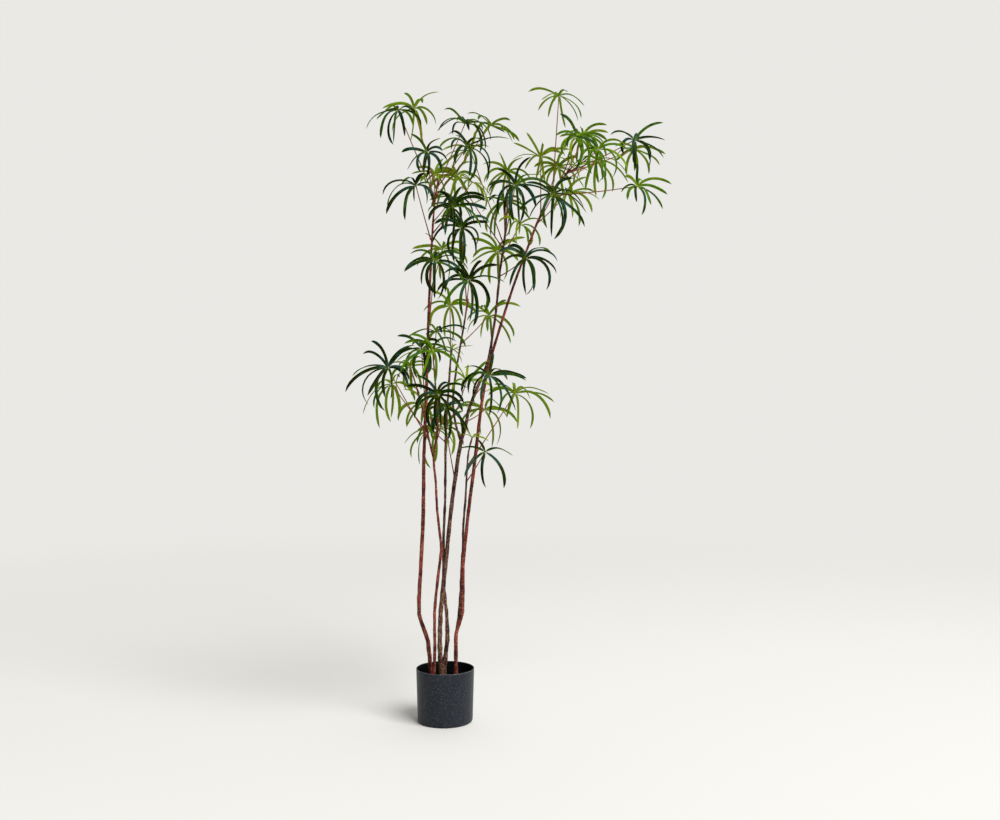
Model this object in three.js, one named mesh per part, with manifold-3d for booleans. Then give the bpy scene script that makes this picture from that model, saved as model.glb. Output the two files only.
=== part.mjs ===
// A bottle tree, 1.8 m tall, in a round nursery pot.
// Millimetres, +Z up, the front towards -Y. The origin is the middle of the pot's flat bottom.
//
// Pieces: the pot, the soil, five stems and the leaves. A leaf is one grown piece: a leafstalk
// with narrow leaflets that spread from its end. Touching pieces keep a small gap.

import * as THREE from 'three';
import { mergeGeometries, mergeVertices } from 'three/addons/utils/BufferGeometryUtils.js';
import Module from 'manifold-3d';

const wasm = await Module();
wasm.setup();

// ---------------------------------------------------------------- driving dimensions

// Between pieces that touch, and between leaflets or stalks that pass each other.
const GAP = 0.3;
const PASSING_GAP = 0.5;

const POT = {
  height: 152,
  rimRadius: 83,
  baseRadius: 78.5,
  wall: 2,
  floor: 2.5,
  footRounding: 6,
  rimRounding: 1,
  sides: 40,
};
const DRAIN = { count: 6, radius: 4.5, fromAxis: 46, sides: 8 };
const SOIL = { level: 106, crown: 3 };

const STEM_SIDES = 7;

const STALK = { radius: 1.5, sides: 4, steps: 2, bow: 5, tries: 30 };
const HUB = { radius: 4.6, keel: 1.2, dome: 1.2, base: 1.6, offset: 3, heart: 16, outwardLean: 0.4 };
// A copy of a leaflet that tests its room is thicker by a margin, and wider by edgeRoom margins.
const LEAFLET = { steps: 3, half: 4.5, taper: 0.22, keel: 1.3, edgeRoom: 2.5, tries: 40 };

// How a leaflet leaves its hub and how far it curves down over its length, in degrees.
const HABITS = {
  open: { lift: 28, liftSpread: 20, bend: 92, bendSpread: 42 },
  hanging: { lift: 2, liftSpread: 20, bend: 78, bendSpread: 26 },
  upright: { lift: 42, liftSpread: 16, bend: 62, bendSpread: 38 },
};

const COLOURS = {
  pot: '#3b4044',
  soil: '#2a211b',
  redBark: '#7a3a2a',
  darkBark: '#4b3a2f',
  leafDark: '#2c5a33',
  leafLight: '#5d8f26',
  leafYoung: '#8dae2e',
};

// ---------------------------------------------------------------- the plant

// Each stem: its bark, the radius at its foot, middle and top, and the line it follows.
// A branch starts inside its stem. The tuft is the young growth at the stem's tip.
const STEMS = {
  left: {
    node: 'stem_left',
    bark: 'redBark',
    limbs: {
      main: {
        radii: [5.8, 5.0, 2.2],
        route: [
          [-36, 8, 30], [-43, 8, 132], [-50, 4, 227], [-62, 3, 262], [-75, 1, 306],
          [-72, -3, 404], [-64, -9, 548], [-61, -14, 662], [-60, -18, 762], [-53, -25, 919],
          [-47, -33, 1117], [-41, -39, 1258], [-35, -44, 1371], [-29, -47, 1460],
          [-19, -48, 1540],
        ],
      },
    },
    tuft: { limb: 'main', leaflets: 4, reach: 42 },
  },
  slender: {
    node: 'stem_slender',
    bark: 'redBark',
    limbs: {
      main: {
        radii: [4.2, 3.4, 2.0],
        route: [
          [-28, -16, 30], [-31, -18, 138], [-28, -24, 222], [-29, -30, 311], [-19, -37, 415],
          [-9, -42, 495], [-12, -45, 532], [-20, -50, 606], [-24, -55, 691], [-30, -60, 758],
          [-18, -64, 834], [-20, -68, 910], [-25, -71, 974], [-30, -75, 1044],
        ],
      },
      side: {
        radii: [2.6, 2.3, 1.8],
        route: [[-30, -60, 756], [-43, -52, 806], [-58, -41, 876], [-82, -27, 962], [-96, -20, 1004]],
      },
    },
    tuft: { limb: 'main', leaflets: 4, reach: 50 },
  },
  twin: {
    node: 'stem_twin',
    bark: 'darkBark',
    limbs: {
      straight: {
        radii: [7.8, 4.0, 2.6],
        route: [
          [-5, 9, 30], [-4, 8, 110], [-3, 8, 150], [0, 10, 182], [5, 15, 227], [5, 16, 275],
          [1, 15, 327], [-5, 14, 384], [-6, 20, 485], [-6, 26, 537], [-2, 33, 627],
          [-1, 41, 803], [6, 45, 931], [13, 49, 1033], [16, 50, 1065],
        ],
      },
      main: {
        radii: [7.0, 5.2, 2.7],
        route: [
          [-9, 5, 30], [-11, 4, 110], [-13, 3, 150], [-15, 2, 182], [-16, 3, 227], [-13, 4, 316],
          [-5, 6, 393], [2, 9, 465], [11, 13, 554], [19, 15, 628], [31, 18, 715],
          [45, 20, 804], [57, 22, 841], [65, 25, 885], [80, 27, 928], [102, 30, 980],
          [124, 34, 1038], [135, 38, 1108], [144, 41, 1166], [157, 48, 1295],
          [172, 54, 1404], [180, 60, 1504],
        ],
      },
      side: {
        radii: [3.3, 2.8, 2.1],
        route: [
          [44, 20, 800], [30, 14, 847], [22, 5, 905], [24, -1, 945], [33, -11, 1010],
          [48, -23, 1095], [62, -35, 1174], [67, -40, 1205],
        ],
      },
    },
    tuft: { limb: 'straight', leaflets: 5, reach: 62 },
  },
  back: {
    node: 'stem_back',
    bark: 'darkBark',
    limbs: {
      main: {
        radii: [3.5, 3.0, 2.0],
        route: [
          [34, 14, 30], [30, 13, 128], [29, 12, 231], [38, 9, 298], [44, 4, 368],
          [47, -2, 442], [50, 0, 492], [52, -2, 564], [58, -4, 632], [62, -20, 706],
          [68, -36, 772], [78, -45, 812],
        ],
      },
    },
    tuft: { limb: 'main', leaflets: 5, reach: 58 },
  },
  right: {
    node: 'stem_right',
    bark: 'redBark',
    limbs: {
      main: {
        radii: [5.2, 4.6, 2.3],
        route: [
          [30, -4, 30], [31, -6, 135], [31, -8, 216], [32, -9, 253], [41, -9, 282],
          [50, -12, 316], [51, -14, 442], [59, -17, 525], [72, -18, 643], [82, -20, 717],
          [92, -22, 805], [108, -25, 930], [125, -27, 1016], [154, -29, 1115],
          [194, -32, 1239], [236, -35, 1352], [262, -36, 1420], [297, -38, 1493],
          [321, -39, 1530], [360, -40, 1575],
        ],
      },
    },
    tuft: { limb: 'main', leaflets: 7, reach: 80 },
  },
};

// Each leaf: the limb it grows on, the height where its stalk leaves the limb, the place of its
// hub, the number of leaflets, the length of the longest, how far its face leans to the front in
// degrees, and its habit.
const LEAVES = [
  // the crown of the left stem
  ['left', 1495, [-125, -110, 1720], 11, 120, 25, 'hanging'],
  ['left', 1520, [-92, 40, 1766], 10, 118, -18, 'open'],
  ['left', 1530, [56, 20, 1716], 12, 138, 25, 'open'],
  ['left', 1470, [-46, -92, 1606], 10, 88, 45, 'open'],
  ['left', 1375, [-78, -75, 1518], 12, 134, 35, 'open'],
  ['left', 1450, [-34, 62, 1580], 9, 110, -20, 'upright'],
  ['left', 1372, [26, -122, 1448], 12, 126, 45, 'open'],
  ['left', 1525, [64, -55, 1632], 11, 134, 40, 'open'],
  ['left', 1500, [131, 10, 1710], 10, 106, 5, 'open'],
  ['left', 1395, [77, -8, 1541], 10, 118, 20, 'open'],
  ['left', 1425, [20, 36, 1508], 11, 110, 35, 'hanging'],
  ['left', 1110, [-22, -125, 1298], 12, 134, 40, 'open'],
  ['left', 1225, [-14, 110, 1366], 10, 120, -22, 'open'],
  ['left', 905, [-62, -80, 1062], 10, 112, 33, 'open'],
  // the right-hand fork of the main stem
  ['main', 1366, [26, 122, 1590], 11, 130, -30, 'open'],
  ['main', 1382, [70, 90, 1656], 9, 100, -15, 'upright'],
  ['main', 1480, [178, 135, 1602], 11, 124, -35, 'open'],
  ['main', 1392, [200, -45, 1524], 13, 146, 45, 'open'],
  ['main', 1410, [168, 118, 1512], 11, 132, -20, 'hanging'],
  ['main', 1345, [214, -8, 1420], 9, 116, 5, 'open'],
  ['main', 1280, [229, -92, 1312], 12, 134, 40, 'open'],
  ['main', 1290, [150, 150, 1366], 12, 126, -35, 'open'],
  ['main', 930, [127, -132, 984], 12, 148, 30, 'open'],
  ['main', 860, [112, 122, 890], 11, 146, -25, 'open'],
  ['main', 700, [-4, 102, 838], 10, 124, -20, 'open'],
  // its left-hand fork
  ['fork', 1200, [50, -92, 1396], 12, 132, 50, 'open'],
  ['fork', 1145, [73, -142, 1244], 13, 142, 50, 'open'],
  ['fork', 1080, [124, 106, 1170], 12, 128, -20, 'open'],
  ['fork', 880, [62, -30, 972], 9, 96, 15, 'upright'],
  // the straight stem
  ['straight', 1052, [8, 120, 1200], 11, 128, -28, 'open'],
  ['straight', 800, [-46, 90, 838], 11, 134, -15, 'hanging'],
  // the slender stem and its side branch
  ['slender', 1036, [-24, -30, 1112], 10, 120, 20, 'open'],
  ['slender', 968, [-28, -134, 1052], 10, 142, 30, 'open'],
  ['slender', 862, [-12, -162, 930], 12, 120, 47, 'open'],
  ['slender', 790, [8, -112, 898], 11, 108, 35, 'hanging'],
  ['slender', 832, [-66, 66, 902], 11, 120, -25, 'open'],
  ['slenderSide', 812, [-150, -140, 1005], 13, 158, 40, 'open'],
  ['slenderSide', 836, [-156, 22, 966], 11, 142, -10, 'hanging'],
  ['slenderSide', 996, [-106, 62, 1016], 10, 106, -20, 'open'],
  // the thin stem at the back
  ['back', 735, [200, 48, 938], 12, 152, -10, 'open'],
  ['back', 690, [116, -132, 776], 6, 126, 40, 'hanging'],
  // the crown of the right stem
  ['right', 1450, [276, 62, 1630], 11, 112, -10, 'upright'],
  ['right', 1405, [326, 78, 1602], 13, 124, -15, 'open'],
  ['right', 1515, [325, -12, 1788], 10, 118, 10, 'hanging'],
  ['right', 1545, [371, -95, 1648], 12, 112, 40, 'open'],
  ['right', 1560, [400, 62, 1688], 12, 112, -20, 'open'],
  ['right', 1562, [427, -125, 1606], 12, 120, 50, 'open'],
  ['right', 1535, [442, 84, 1626], 12, 130, -10, 'hanging'],
  ['right', 1568, [532, -85, 1642], 12, 110, 50, 'open'],
  ['right', 1566, [548, 42, 1648], 10, 104, -15, 'hanging'],
  ['right', 1500, [546, -32, 1524], 11, 108, 50, 'open'],
  ['right', 1420, [304, -132, 1482], 12, 140, 45, 'hanging'],
  ['right', 1425, [350, 24, 1514], 12, 118, -10, 'open'],
];

// ---------------------------------------------------------------- geometry helpers

const TINY = 1e-6;
const UP = new THREE.Vector3(0, 0, 1);
const { degToRad, lerp, seededRandom } = THREE.MathUtils;

const vector = ([x, y, z]) => new THREE.Vector3(x, y, z);

// A random number within spread of zero.
const around = (spread) => (seededRandom() * 2 - 1) * spread;

function solidFrom(geometry) {
  const bare = geometry.clone();
  bare.deleteAttribute('normal');
  bare.deleteAttribute('uv');
  const merged = mergeVertices(bare, 1e-4);
  return new wasm.Manifold(new wasm.Mesh({
    numProp: 3,
    vertProperties: new Float32Array(merged.attributes.position.array),
    triVerts: new Uint32Array(merged.index.array),
  }));
}

function geometryFrom(solid) {
  const mesh = solid.getMesh();
  const geometry = new THREE.BufferGeometry();
  geometry.setAttribute('position', new THREE.BufferAttribute(mesh.vertProperties, 3));
  geometry.setIndex(new THREE.BufferAttribute(mesh.triVerts, 1));
  geometry.computeVertexNormals();
  return geometry;
}

const unite = (solids) => solids.reduce((whole, solid) => whole.add(solid));

// Turns a shape that was built around Y so that it stands on Z.
const standUp = (geometry) => geometry.rotateX(Math.PI / 2);

// An arc in an upright plane: it leaves its start at an angle above the level and curves down.
class ArchCurve extends THREE.Curve {
  constructor(start, direction, length, bend) {
    super();
    this.start = start;
    this.heading = new THREE.Vector3(direction.x, direction.y, 0).normalize();
    this.lift = Math.asin(THREE.MathUtils.clamp(direction.z, -1, 1));
    this.length = length;
    this.bend = bend;
  }

  getPoint(t, target = new THREE.Vector3()) {
    const angle = this.lift - this.bend * t;
    const reach = (Math.sin(this.lift) - Math.sin(angle)) * this.length / this.bend;
    const rise = (Math.cos(angle) - Math.cos(this.lift)) * this.length / this.bend;
    return target.copy(this.start).addScaledVector(this.heading, reach).addScaledVector(UP, rise);
  }
}

// Lays a unit cylinder or cone, built around Y from -0.5 to 0.5, along a curve. sideAt gives
// the direction of its X for a tangent, and section turns its X and Z into real distances.
function followCurve(geometry, curve, sideAt, section) {
  const position = geometry.attributes.position;
  for (let i = 0; i < position.count; i++) {
    const t = THREE.MathUtils.clamp(position.getY(i) + 0.5, 0, 1);
    const tangent = curve.getTangent(t);
    const side = sideAt(tangent);
    const normal = new THREE.Vector3().crossVectors(side, tangent);
    const [across, outward] = section(position.getX(i), position.getZ(i), t);
    const point = curve.getPoint(t).addScaledVector(side, across).addScaledVector(normal, outward);
    position.setXYZ(i, point.x, point.y, point.z);
  }
  return geometry;
}

// A direction square to the tangent, level where it can be.
function levelSide(tangent) {
  const reference = Math.abs(tangent.x) > 0.9 ? new THREE.Vector3(0, 1, 0) : new THREE.Vector3(1, 0, 0);
  return reference.addScaledVector(tangent, -reference.dot(tangent)).normalize();
}

// A round tube with closed ends whose radius runs through the given values.
function tube(curve, radii, sides, steps, extra = 0) {
  const radiusAt = (t) => {
    const place = t * (radii.length - 1);
    const below = Math.min(Math.floor(place), radii.length - 2);
    return lerp(radii[below], radii[below + 1], place - below) + extra;
  };
  const straight = new THREE.CylinderGeometry(1, 1, 1, sides, steps);
  const section = (x, z, t) => [x * radiusAt(t), z * radiusAt(t)];
  return solidFrom(followCurve(straight, curve, levelSide, section));
}

// ---------------------------------------------------------------- pot and soil

function outerRadius(height) {
  return lerp(POT.baseRadius, POT.rimRadius, height / POT.height);
}

function potSolid() {
  const { height, wall, floor, footRounding, rimRounding, sides } = POT;
  const profile = new THREE.Path();
  profile.moveTo(0, 0);
  profile.lineTo(POT.baseRadius - footRounding, 0);
  profile.quadraticCurveTo(outerRadius(0), 0, outerRadius(footRounding), footRounding);
  profile.lineTo(outerRadius(height - rimRounding), height - rimRounding);
  profile.quadraticCurveTo(POT.rimRadius, height, POT.rimRadius - wall / 2, height);
  profile.quadraticCurveTo(
    POT.rimRadius - wall, height, outerRadius(height - rimRounding) - wall, height - rimRounding);
  profile.lineTo(outerRadius(footRounding) - wall, footRounding + floor);
  profile.lineTo(outerRadius(0) - wall - footRounding, floor);
  profile.lineTo(0, floor);
  const body = solidFrom(standUp(new THREE.LatheGeometry(profile.getPoints(2), sides)));
  return Array.from({ length: DRAIN.count }, (_, i) => (i * 2 * Math.PI) / DRAIN.count)
    .reduce((pot, angle) => {
      const hole = new THREE.CylinderGeometry(DRAIN.radius, DRAIN.radius, 4 * floor, DRAIN.sides);
      standUp(hole).translate(DRAIN.fromAxis * Math.cos(angle), DRAIN.fromAxis * Math.sin(angle), 0);
      return pot.subtract(solidFrom(hole));
    }, body);
}

function soilSolid(stemRoom) {
  const { wall, floor, footRounding, sides } = POT;
  const clear = wall + GAP;
  const profile = [
    [0, floor + GAP],
    [outerRadius(0) - clear - footRounding, floor + GAP],
    [outerRadius(footRounding) - clear, footRounding + floor + GAP],
    [outerRadius(SOIL.level) - clear, SOIL.level],
    [outerRadius(SOIL.level) * 0.6, SOIL.level + SOIL.crown * 0.8],
    [0, SOIL.level + SOIL.crown],
  ].map(([x, y]) => new THREE.Vector2(x, y));
  const body = solidFrom(standUp(new THREE.LatheGeometry(profile, sides)));
  return stemRoom.reduce((soil, room) => soil.subtract(room), body);
}

// ---------------------------------------------------------------- stems

const LIMB_NAMES = {
  left: ['left', 'main'],
  slender: ['slender', 'main'],
  slenderSide: ['slender', 'side'],
  straight: ['twin', 'straight'],
  main: ['twin', 'main'],
  fork: ['twin', 'side'],
  back: ['back', 'main'],
  right: ['right', 'main'],
};

for (const stem of Object.values(STEMS)) {
  for (const limb of Object.values(stem.limbs)) {
    limb.curve = new THREE.CatmullRomCurve3(limb.route.map(vector), false, 'centripetal');
    limb.steps = 2 * (limb.route.length - 1);
  }
}

// The place on a limb at a height, with the limb's direction and radius there.
function onLimb(limb, height) {
  let [low, high] = [0, 1];
  for (let i = 0; i < 30; i++) {
    const middle = (low + high) / 2;
    if (limb.curve.getPoint(middle).z < height) low = middle;
    else high = middle;
  }
  const [foot, waist, top] = limb.radii;
  const radius = low < 0.5 ? lerp(foot, waist, low * 2) : lerp(waist, top, low * 2 - 1);
  return { point: limb.curve.getPoint(low), tangent: limb.curve.getTangent(low), radius };
}

function stemSolid(stem, extra) {
  return unite(Object.values(stem.limbs).map(
    (limb) => tube(limb.curve, limb.radii, STEM_SIDES, limb.steps, extra)));
}

// ---------------------------------------------------------------- leaflets and leaves

// A leaf's hub is a small disc with one side for each leaflet. Its frame has the axis that the
// leaflets spread round, and corner gives the disc's corners, counted round the axis.
class Hub {
  constructor(centre, stalkEnd, sides, lean) {
    this.centre = centre;
    this.sides = sides;
    const outward = new THREE.Vector3(stalkEnd.x, stalkEnd.y, 0).normalize();
    this.axis = new THREE.Vector3(0, -Math.sin(degToRad(lean)), Math.cos(degToRad(lean)))
      .addScaledVector(outward, HUB.outwardLean).normalize();
    this.away = outward.addScaledVector(this.axis, -outward.dot(this.axis)).normalize();
    this.across = new THREE.Vector3().crossVectors(this.axis, this.away);
  }

  // The direction at an angle round the axis and a lift above the disc.
  direction(angle, lift) {
    return this.away.clone().multiplyScalar(Math.cos(angle) * Math.cos(lift))
      .addScaledVector(this.across, Math.sin(angle) * Math.cos(lift))
      .addScaledVector(this.axis, Math.sin(lift));
  }

  // Corner k of the disc's upper edge, or a keel point under the edge where k ends in a half.
  corner(k) {
    const angle = ((k % this.sides) * 2 * Math.PI) / this.sides;
    const drop = Number.isInteger(k) ? 0 : HUB.keel;
    return this.centre.clone()
      .addScaledVector(this.direction(angle, 0), HUB.radius)
      .addScaledVector(this.axis, -drop);
  }

  // The faces of the disc: above from corner to corner, below by way of the keel points.
  cap(upper) {
    const points = upper ? this.sides : 2 * this.sides;
    const disc = new THREE.CircleGeometry(1, points);
    const position = disc.attributes.position;
    const middle = this.centre.clone().addScaledVector(this.axis, upper ? HUB.dome : -HUB.base);
    if (!upper) middle.addScaledVector(this.away, HUB.offset);
    position.setXYZ(0, ...middle);
    for (let i = 0; i <= points; i++) {
      position.setXYZ(i + 1, ...this.corner(upper ? i : (points - i) / 2));
    }
    return disc;
  }
}

// A narrow strap, flat above and keeled below, that starts on side k of a hub, arches over and
// tapers to a point. Its open root fits the hub. A margin makes a thicker closed copy for testing.
function leaflet(hub, k, { angle, lift, length, bend }, margin = 0) {
  const direction = hub.direction(angle, lift);
  const normal = hub.direction(angle, lift + Math.PI / 2);
  const curve = new ArchCurve(
    hub.centre.clone().addScaledVector(direction, HUB.radius), direction, length, bend);
  const side = new THREE.Vector3().crossVectors(normal, direction).normalize();
  const sideAt = (tangent) => side.clone().addScaledVector(tangent, -side.dot(tangent)).normalize();
  const rootHalf = HUB.radius * Math.sin(Math.PI / hub.sides);
  const section = (x, z, t) => {
    const size = Math.max(1 - t, TINY);
    const half = (t < TINY ? rootHalf : LEAFLET.half * size ** LEAFLET.taper)
      + LEAFLET.edgeRoom * margin;
    const keel = (LEAFLET.keel + 2 * margin) * (z / size + 0.5) / 1.5 - margin;
    return t < 1 - TINY ? [(x / size / Math.sin(Math.PI / 1.5)) * half, keel] : [0, 0];
  };
  const blade = new THREE.ConeGeometry(1, 1, 3, LEAFLET.steps, margin === 0);
  const position = blade.attributes.position;
  const roots = Array.from({ length: position.count }, (_, i) => {
    const atRoot = margin === 0 && position.getY(i) < TINY - 0.5;
    return atRoot ? hub.corner(k + 0.5 + Math.sign(Math.round(position.getX(i))) / 2) : null;
  });
  followCurve(blade, curve, sideAt, section);
  roots.forEach((root, i) => root && position.setXYZ(i, ...root));
  return blade;
}

const boxesMeet = (a, b) => [0, 1, 2].every((k) => a.min[k] <= b.max[k] && b.min[k] <= a.max[k]);

// What is in place already, with the name of the piece it belongs to.
const standing = [];

function place(owner, solid) {
  standing.push({ owner, solid, box: solid.boundingBox() });
}

// Whether a solid misses everything in place. The owner's own growth may meet inside the heart.
function isClear(solid, owner, heart) {
  const box = solid.boundingBox();
  const outsideHeart = solid.subtract(heart);
  return standing.every((other) => {
    const tested = other.owner === owner ? outsideHeart : solid;
    return !boxesMeet(box, other.box) || tested.intersect(other.solid).isEmpty();
  });
}

const ball = (radius, centre) =>
  solidFrom(new THREE.IcosahedronGeometry(radius).translate(centre.x, centre.y, centre.z));

// A leaf's stalk, with a slight bow that turns until it is clear.
function leafstalk(owner, limb, height, hub) {
  const at = onLimb(limb, height);
  const outward = hub.clone().sub(at.point);
  const alongLimb = Math.abs(outward.clone().normalize().dot(at.tangent));
  outward.addScaledVector(at.tangent, -outward.dot(at.tangent)).normalize();
  const clear = at.radius + 2 * GAP + STALK.radius * (alongLimb + 0.25);
  const heart = ball(HUB.heart, hub);
  for (let i = 0; i < STALK.tries; i++) {
    const start = at.point.clone().addScaledVector(outward, clear + 0.1 * i);
    const bow = new THREE.Vector3(Math.cos(i * 2.4), Math.sin(i * 2.4), 0).multiplyScalar(i * 1.2);
    bow.z -= STALK.bow;
    const curve = new THREE.QuadraticBezierCurve3(start, start.clone().lerp(hub, 0.5).add(bow), hub);
    const radii = [STALK.radius * 1.15, STALK.radius];
    if (isClear(tube(curve, radii, STALK.sides, STALK.steps, GAP), owner, heart)) {
      return { curve, solid: tube(curve, radii, STALK.sides, STALK.steps) };
    }
  }
  throw new Error(`no clear way for the stalk of ${owner}`);
}

// A hub with its leaflets, which spread evenly round it, the longest on the side away from the
// stalk. Each leaflet is redrawn, a little shorter every time, until it is clear.
function spray(owner, centre, stalkEnd, { leaflets, reach, lean, habit }) {
  const { lift, liftSpread, bend, bendSpread } = HABITS[habit];
  const hub = new Hub(centre, stalkEnd, leaflets, lean);
  const heart = ball(HUB.heart, centre);
  const parts = [hub.cap(true), hub.cap(false)];
  for (let k = 0; k < leaflets; k++) {
    const draw = (i) => {
      const angle = ((k + 0.5 + around(0.22 + 0.006 * i)) * 2 * Math.PI) / leaflets;
      const length = reach * (0.87 + 0.14 * Math.cos(angle) - 0.18 * seededRandom()) * 0.96 ** i;
      const form = {
        angle,
        length,
        lift: degToRad(lift + around(liftSpread)),
        bend: degToRad(bend + around(bendSpread)),
      };
      return { form, tested: solidFrom(leaflet(hub, k, form, PASSING_GAP)) };
    };
    let tries = 0;
    let drawn = draw(tries);
    while (!isClear(drawn.tested, owner, heart)) {
      tries += 1;
      if (tries > LEAFLET.tries) throw new Error(`no room for leaflet ${k} of ${owner}`);
      drawn = draw(tries);
    }
    place(owner, drawn.tested);
    parts.push(leaflet(hub, k, drawn.form));
  }
  return solidFrom(mergeGeometries(parts));
}

// ---------------------------------------------------------------- assembly

const potted = new THREE.Group();

function addPiece(name, solid, colour, roughness) {
  const material = new THREE.MeshStandardMaterial({ color: COLOURS[colour], roughness, metalness: 0 });
  const mesh = new THREE.Mesh(geometryFrom(solid), material);
  mesh.name = name;
  potted.add(mesh);
}

const stems = Object.values(STEMS);
stems.forEach((stem) => place(stem.node, stemSolid(stem, GAP)));

addPiece('pot', potSolid(), 'pot', 0.5);
addPiece('soil', soilSolid(stems.map((stem) => stemSolid(stem, GAP))), 'soil', 0.95);

// All stalks stand before the first leaflet grows, so that leaflets give way to stalks.
const leaves = LEAVES.map(([limbName, height, hubPlace, leaflets, reach, lean, habit], i) => {
  const [stemName, limb] = LIMB_NAMES[limbName];
  const name = `leaf_${String(i + 1).padStart(2, '0')}`;
  const hub = vector(hubPlace);
  const stalk = leafstalk(name, STEMS[stemName].limbs[limb], height, hub);
  place(name, stalk.solid.add(ball(1.4 * HUB.radius, hub)));
  return { name, hub, stalk, leaflets, reach, lean, habit };
});

stems.forEach((stem, i) => {
  seededRandom(900 + i);
  const { limb, leaflets, reach } = stem.tuft;
  const { curve } = stem.limbs[limb];
  const tip = curve.getPoint(1);
  const tuft = spray(stem.node, tip, curve.getTangent(1), { leaflets, reach, lean: 0, habit: 'upright' });
  addPiece(stem.node, stemSolid(stem, 0).add(tuft), stem.bark, 0.85);
});

const LEAF_COLOURS = { open: 'leafLight', hanging: 'leafDark', upright: 'leafYoung' };

leaves.forEach((leaf, i) => {
  seededRandom(100 + i);
  const blades = spray(leaf.name, leaf.hub, leaf.stalk.curve.getTangent(1), leaf);
  addPiece(leaf.name, leaf.stalk.solid.add(blades), LEAF_COLOURS[leaf.habit], 0.5);
});

export default potted;
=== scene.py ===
"""A potted bottle tree, 1.8 m tall: pot, soil, five stems and fifty-three leaves.

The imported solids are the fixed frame. Every leaf, stem, the soil and the pot are modelled anew on
the lines that are read back from those solids. Metres, +Z up, the front towards -Y.
"""

import logging
import math
import random
from collections.abc import Iterable
from dataclasses import dataclass, field
from enum import Enum

import bmesh
import bpy
from bmesh.types import BMEdge, BMesh, BMFace, BMVert
from bpy.types import ColorRamp, Material, Mesh, Node, NodeSocket, NodeTree, Object
from mathutils import Matrix, Vector, noise
from mathutils.bvhtree import BVHTree


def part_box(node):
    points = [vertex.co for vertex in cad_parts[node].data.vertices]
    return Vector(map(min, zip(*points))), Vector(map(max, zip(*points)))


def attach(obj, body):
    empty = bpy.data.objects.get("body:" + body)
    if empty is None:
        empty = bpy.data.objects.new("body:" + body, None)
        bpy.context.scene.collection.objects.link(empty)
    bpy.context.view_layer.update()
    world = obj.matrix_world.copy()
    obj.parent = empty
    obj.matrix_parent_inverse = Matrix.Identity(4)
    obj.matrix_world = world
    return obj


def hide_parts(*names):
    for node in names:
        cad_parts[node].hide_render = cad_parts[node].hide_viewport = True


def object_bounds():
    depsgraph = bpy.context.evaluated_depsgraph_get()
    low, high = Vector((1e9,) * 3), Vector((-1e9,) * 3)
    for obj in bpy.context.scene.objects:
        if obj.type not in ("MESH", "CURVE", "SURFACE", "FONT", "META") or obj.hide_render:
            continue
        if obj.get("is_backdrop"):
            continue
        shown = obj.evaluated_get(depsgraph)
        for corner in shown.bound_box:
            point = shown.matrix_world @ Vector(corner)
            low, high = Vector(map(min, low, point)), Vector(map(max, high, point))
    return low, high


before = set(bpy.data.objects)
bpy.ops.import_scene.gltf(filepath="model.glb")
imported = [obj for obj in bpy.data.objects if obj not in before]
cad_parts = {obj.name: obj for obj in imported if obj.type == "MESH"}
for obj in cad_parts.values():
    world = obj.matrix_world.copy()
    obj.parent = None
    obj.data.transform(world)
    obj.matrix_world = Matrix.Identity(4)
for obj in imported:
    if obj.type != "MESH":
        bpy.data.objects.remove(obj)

LOG = logging.getLogger("bottle_tree")
MM = 0.001
UP = Vector((0, 0, 1))
BODY = "root"

Triple = tuple[float, float, float]
Colour = Triple
Profile = list[tuple[float, float]]
Stops = list[tuple[float, Colour]]
Line = list[tuple[Vector, float]]


def smooth(x: float) -> float:
    """Ease from 0 to 1 as x goes from 0 to 1, level at both ends."""
    x = min(max(x, 0.0), 1.0)
    return x * x * (3 - 2 * x)


def mean(points: Iterable[Vector]) -> Vector:
    """The middle of some points."""
    points = list(points)
    return sum(points, Vector()) / len(points)


# ---- shader nodes


class Signal:
    """A number that changes over a surface, with the usual arithmetic."""

    def __init__(self, graph: "NodeGraph", socket: NodeSocket) -> None:
        """Wrap an output socket of a node in a graph."""
        self.graph = graph
        self.socket = socket

    def _math(self, operation: str, *values: "Signal | float") -> "Signal":
        """Add a Math node."""
        made = self.graph.node("ShaderNodeMath", {"operation": operation}, dict(enumerate(values)))
        return Signal(self.graph, made.outputs[0])

    def __add__(self, other: "Signal | float") -> "Signal":
        """Self + other."""
        return self._math("ADD", self, other)

    __radd__ = __add__

    def __sub__(self, other: "Signal | float") -> "Signal":
        """Self - other."""
        return self._math("SUBTRACT", self, other)

    def __rsub__(self, other: float) -> "Signal":
        """Other - self."""
        return self._math("SUBTRACT", other, self)

    def __mul__(self, other: "Signal | float") -> "Signal":
        """Self * other."""
        return self._math("MULTIPLY", self, other)

    __rmul__ = __mul__

    def __abs__(self) -> "Signal":
        """The absolute value."""
        return self._math("ABSOLUTE", self)

    def step(self, low: float, high: float) -> "Signal":
        """Run smoothly from 0 at low to 1 at high, or the other way round where low is above high.

        Args:
            low: The value that becomes 0.
            high: The value that becomes 1.

        Returns:
            A number from 0 to 1.
        """
        made = self.graph.node(
            "ShaderNodeMapRange",
            {"interpolation_type": "SMOOTHSTEP", "clamp": True},
            {"Value": self, "From Min": low, "From Max": high},
        )
        return Signal(self.graph, made.outputs["Result"])


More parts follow.
